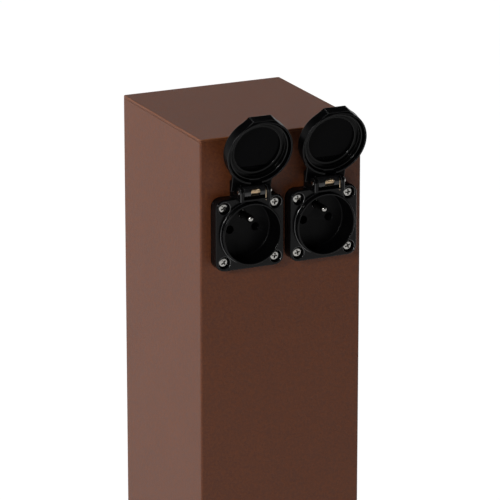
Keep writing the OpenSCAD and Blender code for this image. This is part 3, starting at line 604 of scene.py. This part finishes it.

# %% [markdown]
# ## Sockets, lids, gaskets and the post's top
#
# These keep their CAD shape and only get softer. The socket's cup gets a darker black inside, as painted shade. The
# lid gets a darker black inside as painted shade, plain black outside, and a paler grey on its barrel as a painted
# highlight. Which face is which is measured: its distance from the cup's axis or the hinge's, or the way that it faces.

# %% The softened pieces
CUP_R, CUP_RIM, CUP_SHADE = 0.0204, 0.008, 2
BARREL_R, BARREL_HIGHLIGHT, OUTSIDE = 0.0037, 2, 3

for side in SIDES:
    # Its rounded edges take a paler, shinier grey as a painted highlight.
    socket = softened(f"socket_housing_{side}", 0.35, EDGE)
    for face in socket.polygons:
        local = on_wall(side).inverted() @ face.center
        # Faces inside the cup take the darker inner black as painted shade.
        if local.xy.length < CUP_R and local.z < CUP_RIM:
            face.material_index = CUP_SHADE
    add_piece(f"moulded_socket_{side}", socket, f"socket_housing_{side}",
              [finish["black_moulding"], socket_edge, finish["inner_moulding"]])
    lid = softened(f"lid_{side}", 0.4, EDGE)
    outwards = on_open_lid(side).to_3x3() @ Vector((0, 0, 1))
    for face in lid.polygons:
        # Faces round the hinge's axis take the paler grey as a painted highlight, and faces turned outwards stay plain
        # black.
        if off_axis(face.center, f"lid_{side}_hinge") < BARREL_R:
            face.material_index = BARREL_HIGHLIGHT
        elif face.normal.dot(outwards) > 0.5:
            face.material_index = OUTSIDE
    # The lid's other faces keep its first finish, the darker black painted as shade inside the lid.
    add_piece(f"moulded_lid_{side}", lid, f"lid_{side}",
              [painted_lid_shade, lid_edge, painted_barrel_highlight, finish["black_moulding"]])
    add_piece(f"soft_gasket_{side}", softened(f"flange_gasket_{side}", 0.3), f"flange_gasket_{side}")
# The top plate's rounded edges take the paler, warmer brown as a painted highlight.
add_piece("rounded_top", softened("top_plate", 0.6, EDGE), "top_plate", [finish["post_paint"], thin_paint])
print("nodes stood for:", made_so_far())

# %% [markdown]
# ## Turned pieces
#
# A screw head, a hinge pin and a round seal are all made on a lathe or in a round mould, so each is an outline turned
# round an axis. The outline is a list of (radius, height) points in millimetres. Where it starts and ends on the axis
# it closes in two poles, and otherwise it goes back to its first point and makes a ring.

# %% Turn an outline round an axis
def rounded(outline, corners, steps=4):
    """The outline with some corners rounded: corners gives a radius in millimetres for a point's number."""
    points = []
    for i, corner in enumerate(outline):
        if i not in corners:
            points.append(corner)
            continue
        here, last, coming = Vector(corner), Vector(outline[i - 1]), Vector(outline[(i + 1) % len(outline)])
        start = here + (last - here).normalized() * corners[i]
        end = here + (coming - here).normalized() * corners[i]
        for k in range(steps + 1):
            t = k / steps
            points.append(tuple(start.lerp(here, t).lerp(here.lerp(end, t), t)))
    return points


def turned(outline, place, steps):
    """A closed solid of revolution about Z, put in place by a matrix."""
    work = bmesh.new()
    rings = []
    for radius, height in outline:
        if radius == 0:
            rings.append([work.verts.new((0, 0, height * MM))] * steps)
        else:
            angles = [math.tau * i / steps for i in range(steps)]
            rings.append([work.verts.new((radius * MM * math.cos(a), radius * MM * math.sin(a), height * MM))
                          for a in angles])
    pairs = list(zip(rings, rings[1:]))
    if outline[0][0] > 0:
        pairs.append((rings[-1], rings[0]))
    for low, high in pairs:
        for i in range(steps):
            j = (i + 1) % steps
            corners = list(dict.fromkeys([low[i], low[j], high[j], high[i]]))
            if len(corners) > 2:
                work.faces.new(corners)
    bmesh.ops.recalc_face_normals(work, faces=work.faces)
    bmesh.ops.transform(work, matrix=place, verts=work.verts)
    mesh = bpy.data.meshes.new("turned")
    work.to_mesh(mesh)
    work.free()
    smooth(mesh, math.radians(30))
    return mesh


square = [(0, 0), (1, 0), (1, 1), (0, 1)]
print("a square with one corner rounded has", len(rounded(square, {2: 0.2})), "points")

# %% [markdown]
# ## The lids' seals and the hinges' pins
#
# The seal is a flat ring with a fine ridge on the lid's floor, and a round lip that meets the socket's ring. Faces that
# don't lie flat on the lid belong to the ridge or the lip, and shine. The hinge pin has a chamfered end on the left and
# a domed head on the right.

# %% Seals and pins
LIES_FLAT = 0.95
seal_lip = moulding("seal_lip", (7, 7, 7), (10, 10, 10), 0.12, 0.35)

seal = [(16.8, 18.9), (16.8, 17.2), (18.3, 17.2), (18.45, 16.95), (18.6, 17.2), (20.25, 17.2), (20.25, 13.7),
        (21.6, 13.7), (21.6, 17.2), (22.1, 17.2), (22.1, 18.9), (19.05, 18.9), (19.05, 17.95), (17.75, 17.95),
        (17.75, 18.9)]
seal = rounded(seal, {1: 0.45, 5: 0.2, 6: 0.65, 7: 0.65, 9: 0.2})

pin = [(0, -11.6), (1.5, -11.6), (1.5, 11.3), (2.1, 11.3), (2.1, 12.8), (0, 12.8)]
pin = rounded(pin, {1: 0.35, 4: 0.9}, steps=6)

for side in SIDES:
    ring = turned(seal, on_open_lid(side), steps=144)
    outwards = on_open_lid(side).to_3x3() @ Vector((0, 0, 1))
    for face in ring.polygons:
        face.material_index = int(abs(face.normal.dot(outwards)) < LIES_FLAT)
    add_piece(f"rubber_seal_{side}", ring, f"lid_seal_{side}", [finish["gasket_rubber"], seal_lip])
    hinge = Matrix.Translation(joints[f"lid_{side}_hinge"]["pos_m"])
    add_piece(f"pin_of_hinge_{side}", turned(pin, hinge @ Matrix.Rotation(math.pi / 2, 4, "Y"), steps=48),
              f"hinge_pin_{side}")
print("nodes stood for:", made_so_far())

# %% [markdown]
# ## Geometry Nodes that run once
#
# What repeats or follows a path is made by a geometry tree. The tree gets named inputs, and a modifier runs it on a
# small mesh of points. The result is copied to a plain mesh and the modifier goes away with its carrier, so that
# nothing is left that has to be worked out again when the file is opened elsewhere.

# %% A geometry tree with named inputs
class Shaper(Tree):
    """Makes one mesh out of another."""

    def __init__(self, name, **sockets):
        group = bpy.data.node_groups.new(name, "GeometryNodeTree")
        super().__init__(group)
        group.interface.new_socket("Mesh", in_out="INPUT", socket_type="NodeSocketGeometry")
        for label, kind in sockets.items():
            group.interface.new_socket(label, in_out="INPUT", socket_type="NodeSocket" + kind)
        group.interface.new_socket("Mesh", in_out="OUTPUT", socket_type="NodeSocketGeometry")
        self.inlet = group.nodes.new("NodeGroupInput")

    def given(self, label):
        return Value(self, self.inlet.outputs[label])

    def end_with(self, geometry):
        real = self.node("GeometryNodeRealizeInstances", {}, {"Geometry": geometry})
        painted = self.node("GeometryNodeSetMaterial", {}, {"Geometry": real, "Material": self.given("Material")})
        self.tree.links.new(painted.socket, self.tree.nodes.new("NodeGroupOutput").inputs[0])

    def run(self, points, links=(), attributes=None, **values):
        """The tree's result on a mesh of points in metres, joined by links."""
        mesh = bpy.data.meshes.new("points")
        mesh.from_pydata(points, links, [])
        for label, vectors in (attributes or {}).items():
            layer = mesh.attributes.new(label, "FLOAT_VECTOR", "POINT")
            layer.data.foreach_set("vector", [c for vector in vectors for c in vector])
        carrier = bpy.data.objects.new("carrier", mesh)
        scene.collection.objects.link(carrier)
        modifier = carrier.modifiers.new("shape", "NODES")
        modifier.node_group = self.tree
        for item in self.tree.interface.items_tree:
            if item.in_out == "INPUT" and item.name in values:
                modifier[item.identifier] = values[item.name]
        bpy.context.view_layer.update()
        made = bpy.data.meshes.new_from_object(carrier.evaluated_get(bpy.context.evaluated_depsgraph_get()))
        bpy.data.objects.remove(carrier)
        bpy.data.meshes.remove(mesh)
        return made


print("ready:", Shaper.__name__)


# %% [markdown]
# ## Springs and wires
#
# A spring and a wire are the same thing to the tree: a round wire swept along a line of points. Only the line
# differs. A spring's comes from a formula, and a wire's is a smooth curve through a few listed places.

# %% Sweep a round wire along points
sweep = Shaper("sweep", Radius="Float", Sides="Int", Material="Material")
line = sweep.node("GeometryNodeMeshToCurve", {}, {"Mesh": sweep.given("Mesh")})
circle = sweep.node("GeometryNodeCurvePrimitiveCircle", {},
                    {"Resolution": sweep.given("Sides"), "Radius": sweep.given("Radius")})
tube = sweep.node("GeometryNodeCurveToMesh", {}, {"Curve": line, "Profile Curve": circle, "Fill Caps": True})
sweep.end_with(sweep.node("GeometryNodeSetShadeSmooth", {}, {"Geometry": tube}))


def swept(points, diameter_mm, material, sides=16):
    """A round wire along points in metres."""
    links = [(i, i + 1) for i in range(len(points) - 1)]
    mesh = sweep.run(points, links, Radius=diameter_mm * MM / 2, Sides=sides, Material=material)
    work = bmesh.new()
    work.from_mesh(mesh)
    bmesh.ops.recalc_face_normals(work, faces=work.faces)
    work.to_mesh(mesh)
    work.free()
    smooth(mesh, math.radians(40))
    return mesh


print("tree", sweep.tree.name, "has", len(sweep.tree.nodes), "nodes")

# %% [markdown]
# ## Wound springs
#
# A torsion spring goes round each hinge pin and a compression spring stands under each shutter. Sizes are in
# millimetres, on the axes of the hinge or of the socket. When a shutter goes down its spring has to get shorter, so it
# is squashed by the same slide, down to 0.26 of its length at the end of the slide's way.

# %% Springs
STEPS = 24
CURLS, SPRING_WIRE = 12, 0.8
SPRING_LEFT, SPRING_RIGHT, SPRING_R = -2.6, 8.1, 2.05
LID_LEG, SOCKET_LEG = 0.9, -6.4
COIL_CURLS, COIL_WIRE, COIL_PRESSED = 6, 0.34, 0.26
COIL_TOP, COIL_END, COIL_DEPTH = -4.72, -12.57, -7.575


def lid_spring(place):
    """The torsion spring round the hinge pin: a leg on the lid, twelve close curls, and a leg down to the socket."""
    points = [(SPRING_LEFT, LID_LEG, SPRING_R)]
    for i in range(CURLS * STEPS + 1):
        angle = -math.tau * i / STEPS
        x = SPRING_LEFT + (SPRING_RIGHT - SPRING_LEFT) * i / (CURLS * STEPS)
        points.append((x, SPRING_R * math.sin(angle), SPRING_R * math.cos(angle)))
    points.append((SPRING_RIGHT, SOCKET_LEG, SPRING_R))
    return [place @ (Vector(p) * MM) for p in points]


def shutter_spring(place):
    """The compression spring that lifts the shutter: six curls between the shutter and its channel's end."""
    turns = [(math.tau * i / STEPS, i / (COIL_CURLS * STEPS)) for i in range(COIL_CURLS * STEPS + 1)]
    return [place @ (Vector((math.cos(a), COIL_TOP + (COIL_END - COIL_TOP) * t, COIL_DEPTH + math.sin(a))) * MM)
            for a, t in turns]


for side in SIDES:
    hinge = Matrix.Translation(joints[f"lid_{side}_hinge"]["pos_m"]) @ Matrix.Rotation(math.pi / 2, 4, "X")
    add_piece(f"torsion_spring_{side}", swept(lid_spring(hinge), SPRING_WIRE, finish["spring_brass"]),
              f"hinge_spring_{side}")
    coil = add_piece(f"coil_spring_{side}",
                     swept(shutter_spring(on_wall(side)), COIL_WIRE, finish["bright_steel"], sides=10),
                     f"shutter_spring_{side}")
    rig.squash(coil, f"shutter_{side}_slide", axis=(0, 0, 1),
              anchor=on_wall(side) @ (Vector((0, COIL_END - COIL_WIRE / 2, COIL_DEPTH)) * MM), keep=COIL_PRESSED)
print("nodes stood for:", made_so_far())

# %% [markdown]
# ## Wires
#
# Three wires go from the terminal block up to the left socket, three go on to the right one, and one earths the post.
# Each wire is a coat with a copper core that shows at both ends. Its route is a smooth curve through a few places, and
# it starts and ends straight, so that it enters its terminal squarely.

# %% A wire with bared ends
WIRE_MM, CORE_MM, CORE_LENGTH = 3.0, 1.6, 0.006
copper = bare_metal("copper_core", (176, 108, 74), (214, 148, 110), 0.28)


def smooth_line(places, steps=8):
    """Points of a curve that passes through every place, by a cubic formula."""
    points = []
    for i in range(len(places) - 1):
        a, b, c = places[max(i - 1, 0)], places[i], places[i + 1]
        d = places[min(i + 2, len(places) - 1)]
        for k in range(steps):
            t = k / steps
            points.append(0.5 * (2 * b + (c - a) * t + (2 * a - 5 * b + 4 * c - d) * t ** 2
                                 + (3 * b - a - 3 * c + d) * t ** 3))
    return points + [places[-1]]


def joined(meshes):
    """One mesh of several, each with its own material number."""
    work = bmesh.new()
    for number, mesh in enumerate(meshes):
        known = len(work.faces)
        work.from_mesh(mesh)
        work.faces.ensure_lookup_table()
        for face in work.faces[known:]:
            face.material_index = number
    made = bpy.data.meshes.new("joined")
    work.to_mesh(made)
    work.free()
    smooth(made, math.radians(40))
    return made


def wire(name, node, route, start, end):
    """A wire that leaves its first place along start and reaches its last one along end, with both ends bared."""
    route = [Vector(place) for place in route]
    straight = WIRE_MM * MM
    inner = smooth_line([route[0] + start * straight] + route[1:-1] + [route[-1] - end * straight])
    coat = finish[subparts[node]["material_slot"]]
    cover = swept([route[0]] + inner + [route[-1]], WIRE_MM, coat)
    cores = [swept([at + inward * MM, at - inward * CORE_LENGTH], CORE_MM, copper, sides=12)
             for at, inward in ((route[0], start), (route[-1], -end))]
    add_piece(name, joined([cover, joined(cores)]), node, [coat, copper])


print("wire", WIRE_MM, "mm thick, core", CORE_MM, "mm")

# %% The seven wires
PORT_Y, PORT_HALF = -0.031, 0.0019
UP, INTO_WALL, OUT_OF_WALL = Vector((0, 0, 1)), Vector((0, 1, 0)), Vector((0, -1, 0))


def port(side, x, up, half):
    """Where a wire enters a socket's terminal, on its left half at -1 and its right half at 1."""
    return Vector((SIDES[side] * SOCKET_X + x + half * PORT_HALF, PORT_Y, SOCKET_Z + up))


def link_route(x, up, level, back):
    """From a terminal of the left socket to the same one of the right socket, at one level behind them."""
    a, b = port("left", x, up, 1), port("right", x, up, -1)
    y, half = PORT_Y + back, (a.z + level) / 2
    return [a, (a.x + 0.0035, y, half), (a.x + 0.014, y, level), (b.x - 0.014, y, level), (b.x - 0.0035, y, half), b]


wire("brown_feed_wire", "feed_line",
     [(-0.013, 0.046, 0.34), (-0.015, 0.046, 0.37), (-0.03, 0.03, 0.405), (-0.038, 0.005, 0.428),
      port("left", -0.0095, 0, -1)], UP, OUT_OF_WALL)
wire("green_feed_wire", "feed_earth",
     [(0, 0.046, 0.34), (-0.003, 0.046, 0.375), (-0.018, 0.034, 0.415), (-0.029, 0.008, 0.442),
      port("left", 0, 0.01, -1)], UP, OUT_OF_WALL)
wire("blue_feed_wire", "feed_neutral",
     [(0.013, 0.046, 0.34), (0.01, 0.046, 0.37), (-0.006, 0.03, 0.402), (-0.019, 0.006, 0.428),
      port("left", 0.0095, 0, -1)], UP, OUT_OF_WALL)
wire("brown_link_wire", "link_line", link_route(-0.0095, 0, 0.408, 0.011), INTO_WALL, OUT_OF_WALL)
wire("blue_link_wire", "link_neutral", link_route(0.0095, 0, 0.418, 0.019), INTO_WALL, OUT_OF_WALL)
wire("green_link_wire", "link_earth", link_route(0, 0.01, 0.46, 0.013), INTO_WALL, OUT_OF_WALL)
wire("green_bond_wire", "bond_wire",
     [(0, 0.046, 0.32), (0.003, 0.046, 0.306), (0.021, 0.055, 0.302), (0.026, 0.0606, 0.286)], -UP, -UP)
print("nodes stood for:", made_so_far())

# %% [markdown]
# ## Screws
#
# One screw is turned, and its cross is cut with two tapered wedges. A second tree puts a copy on every point, with
# its head to the point's own direction, and turns each by a random angle as a screwdriver leaves them.

# %% One cross-head screw
def cut(mesh, cutter):
    """The first mesh less the second."""
    block, tool = (bpy.data.objects.new(n, m) for n, m in (("block", mesh), ("tool", cutter)))
    for thing in (block, tool):
        scene.collection.objects.link(thing)
    modifier = block.modifiers.new("cut", "BOOLEAN")
    modifier.operation, modifier.solver, modifier.object = "DIFFERENCE", "EXACT", tool
    made = bpy.data.meshes.new_from_object(block.evaluated_get(bpy.context.evaluated_depsgraph_get()))
    for thing in (block, tool):
        bpy.data.objects.remove(thing)
    return made


def wedge(half_length, half_width, top, depth, turn):
    """A bar across the head that gets shorter and thinner towards its bottom."""
    work = bmesh.new()
    corners = [(-1, -1), (1, -1), (1, 1), (-1, 1)]
    low = [work.verts.new((x * half_length * 0.3, y * half_width * 0.6, top - depth)) for x, y in corners]
    high = [work.verts.new((x * half_length, y * half_width, top)) for x, y in corners]
    work.faces.new(low[::-1])
    work.faces.new(high)
    for i in range(4):
        work.faces.new((low[i], low[(i + 1) % 4], high[(i + 1) % 4], high[i]))
    bmesh.ops.transform(work, matrix=Matrix.Scale(MM, 4) @ Matrix.Rotation(turn, 4, "Z"), verts=work.verts)
    mesh = bpy.data.meshes.new("wedge")
    work.to_mesh(mesh)
    work.free()
    return mesh


def pan_screw(d, length, head_d, head_h):
    """A pan-head screw whose head starts at the origin and points up. Sizes are in millimetres."""
    outline = [(0, -length), (d / 2, -length), (d / 2, 0), (head_d / 2, 0), (head_d / 2, head_h * 0.85),
               (0, head_h)]
    outline = rounded(outline, {1: d * 0.12, 3: 0.15, 4: head_h * 0.5}, steps=6)
    mesh = turned(outline, Matrix.Identity(4), steps=48)
    for turn in (0, math.pi / 2):
        mesh = cut(mesh, wedge(head_d * 0.3, head_d * 0.08, head_h * 1.05, head_h * 0.75, turn))
    smooth(mesh, math.radians(30))
    return mesh


flange_screw, foot_screw = pan_screw(4, 14, 7.5, 2.6), pan_screw(6, 16, 11.4, 3.28)
print("flange screw faces", len(flange_screw.polygons), "foot screw faces", len(foot_screw.polygons))

# %% Copies on points
spread = Shaper("screws_on_points", Screw="Object", Seed="Int", Material="Material")
screw = spread.node("GeometryNodeObjectInfo", {}, {"Object": spread.given("Screw")}, output="Geometry")
facing = spread.node("GeometryNodeInputNamedAttribute", {"data_type": "FLOAT_VECTOR"}, {"Name": "facing"})
upright = spread.node("FunctionNodeAlignRotationToVector", {"axis": "Z"}, {"Vector": facing})
angle = spread.node("FunctionNodeRandomValue", {"data_type": "FLOAT"},
                    {2: 0.0, 3: math.tau, "Seed": spread.given("Seed")}, output=1)
turn = spread.node("FunctionNodeAxisAngleToRotation", {}, {"Axis": (0, 0, 1), "Angle": angle})
pose = spread.node("FunctionNodeRotateRotation", {"rotation_space": "LOCAL"}, {"Rotation": upright, "Rotate By": turn})
spread.end_with(spread.node("GeometryNodeInstanceOnPoints", {}, {"Points": spread.given("Mesh"), "Instance": screw,
                                                                 "Rotation": pose}))
print("tree", spread.tree.name, "has", len(spread.tree.nodes), "nodes")

# %% Put the screws in place
FLANGE_SCREW_PLACE, FLANGE_FACE = 19, 5.1
FOOT_SCREW_X, FOOT_SCREW_Y, FOOT_SCREW_Z = 0.06, 0.035, 0.02
FOOT_SEED = 5


def screws(name, node, shape, points, directions, seed):
    """A set of screws that replaces a CAD node."""
    pattern = bpy.data.objects.new("pattern", shape)
    scene.collection.objects.link(pattern)
    mesh = spread.run(points, attributes={"facing": directions}, Screw=pattern, Seed=seed,
                      Material=finish[subparts[node]["material_slot"]])
    bpy.data.objects.remove(pattern)
    smooth(mesh, math.radians(30))
    return add_piece(name, mesh, node)


corners = [(x, y, FLANGE_FACE) for x in (-FLANGE_SCREW_PLACE, FLANGE_SCREW_PLACE)
           for y in (-FLANGE_SCREW_PLACE, FLANGE_SCREW_PLACE)]
for seed, side in enumerate(SIDES):
    places = [on_wall(side) @ (Vector(corner) * MM) for corner in corners]
    screws(f"cross_head_screws_{side}", f"flange_screws_{side}", flange_screw, places, [OUT_OF_WALL] * 4, seed)

places = [(x, y, FOOT_SCREW_Z) for x in (-FOOT_SCREW_X, FOOT_SCREW_X) for y in (-FOOT_SCREW_Y, FOOT_SCREW_Y)]
screws("cross_head_screws_foot", "foot_screws", foot_screw, places,
       [(math.copysign(1, x), 0, 0) for x, _, _ in places], FOOT_SEED)
print("nodes stood for:", made_so_far(), "of", len(frame["nodes"]))

# %% [markdown]
# ## Floor, backdrop and light
#
# A white sheet lies under the post and goes up behind it. Softboxes stand on the left, at the left in front and above,
# and the rest of the room is dark. So the black mouldings stay black, their edges catch a lamp, and the post's side and
# top, which the camera sees at a low angle, get a pale sheen from the sheet. One small lamp on the left puts the sharp
# sparks on the metal. The sheet's glow counts only for the camera and in mirrors, so that it doesn't light the post.

# %% Softboxes and a dark room
AIMED_AT = Vector((0, 0, 0.4))
ROOM_LIGHT = 0.03


def softbox(name, place, size, power):
    """A square lamp of a size in metres and a power in watts, turned towards the sockets."""
    data = bpy.data.lights.new(name, "AREA")
    data.shape, data.size, data.energy = "SQUARE", size, power
    lamp = bpy.data.objects.new(name, data)
    lamp.location = place
    lamp.rotation_euler = (AIMED_AT - Vector(place)).to_track_quat("-Z", "Y").to_euler()
    scene.collection.objects.link(lamp)


softbox("left_softbox", (-1.9, 0.9, 1.5), 0.7, 16)
softbox("spark_lamp", (-2.0, 0, 1.9), 0.2, 3)
softbox("front_softbox", (-2.06, -1.73, 1.5), 0.5, 26)
softbox("top_softbox", (0.1, 0.8, 2.6), 0.8, 11)

world = bpy.data.worlds.new("studio")
scene.world = world
world.use_nodes = True
world.node_tree.nodes["Background"].inputs["Color"].default_value = (1, 1, 1, 1)
world.node_tree.nodes["Background"].inputs["Strength"].default_value = ROOM_LIGHT
print("lamps", len(bpy.data.lights))

# %% Floor and backdrop
GLOW, GLOW_SHARE = 1.14, 0.88
REACH, BACK, HIGH = 12, 5, 2.7

paper = Finish("paper", Base_Color=(0.8, 0.8, 0.8, 1), Roughness=0.9)
rays = paper.tree.nodes.new("ShaderNodeLightPath").outputs
seen = Value(paper, rays["Is Camera Ray"])
for ray in ("Is Glossy Ray", "Is Transmission Ray"):
    seen = paper.node("ShaderNodeMath", {"operation": "MAXIMUM"}, {0: seen, 1: Value(paper, rays[ray])})
glow = paper.node("ShaderNodeEmission", {}, {"Strength": GLOW})
mixed = paper.node("ShaderNodeMixShader", {},
                   {0: seen * GLOW_SHARE, 1: Value(paper, paper.shader.outputs[0]), 2: glow})
paper.tree.links.new(mixed.socket, paper.tree.nodes["Material Output"].inputs["Surface"])

sheets = {"floor": [(-REACH, -REACH, 0), (REACH, -REACH, 0), (REACH, BACK, 0), (-REACH, BACK, 0)],
          "backdrop": [(-REACH, BACK, 0), (REACH, BACK, 0), (REACH, BACK, HIGH), (-REACH, BACK, HIGH)]}
for name, corners in sheets.items():
    mesh = bpy.data.meshes.new(name)
    mesh.from_pydata(corners, [], [(0, 1, 2, 3)])
    mesh.materials.append(paper.material)
    sheet = bpy.data.objects.new(name, mesh)
    scene.collection.objects.link(sheet)
    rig.stage(sheet)

scene.view_settings.view_transform = "Standard"
print("stage", sorted(sheets))

# %% [markdown]
# ## Sizes
#
# Blender adds looks and no size. The object's box before and after is written down so that the two can be compared.

# %% Sizes before and after
with open("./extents.json", "w") as file:
    json.dump({"cad": [list(c) for c in cad_bounds], "visual": [list(c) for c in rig.bounds()]}, file)
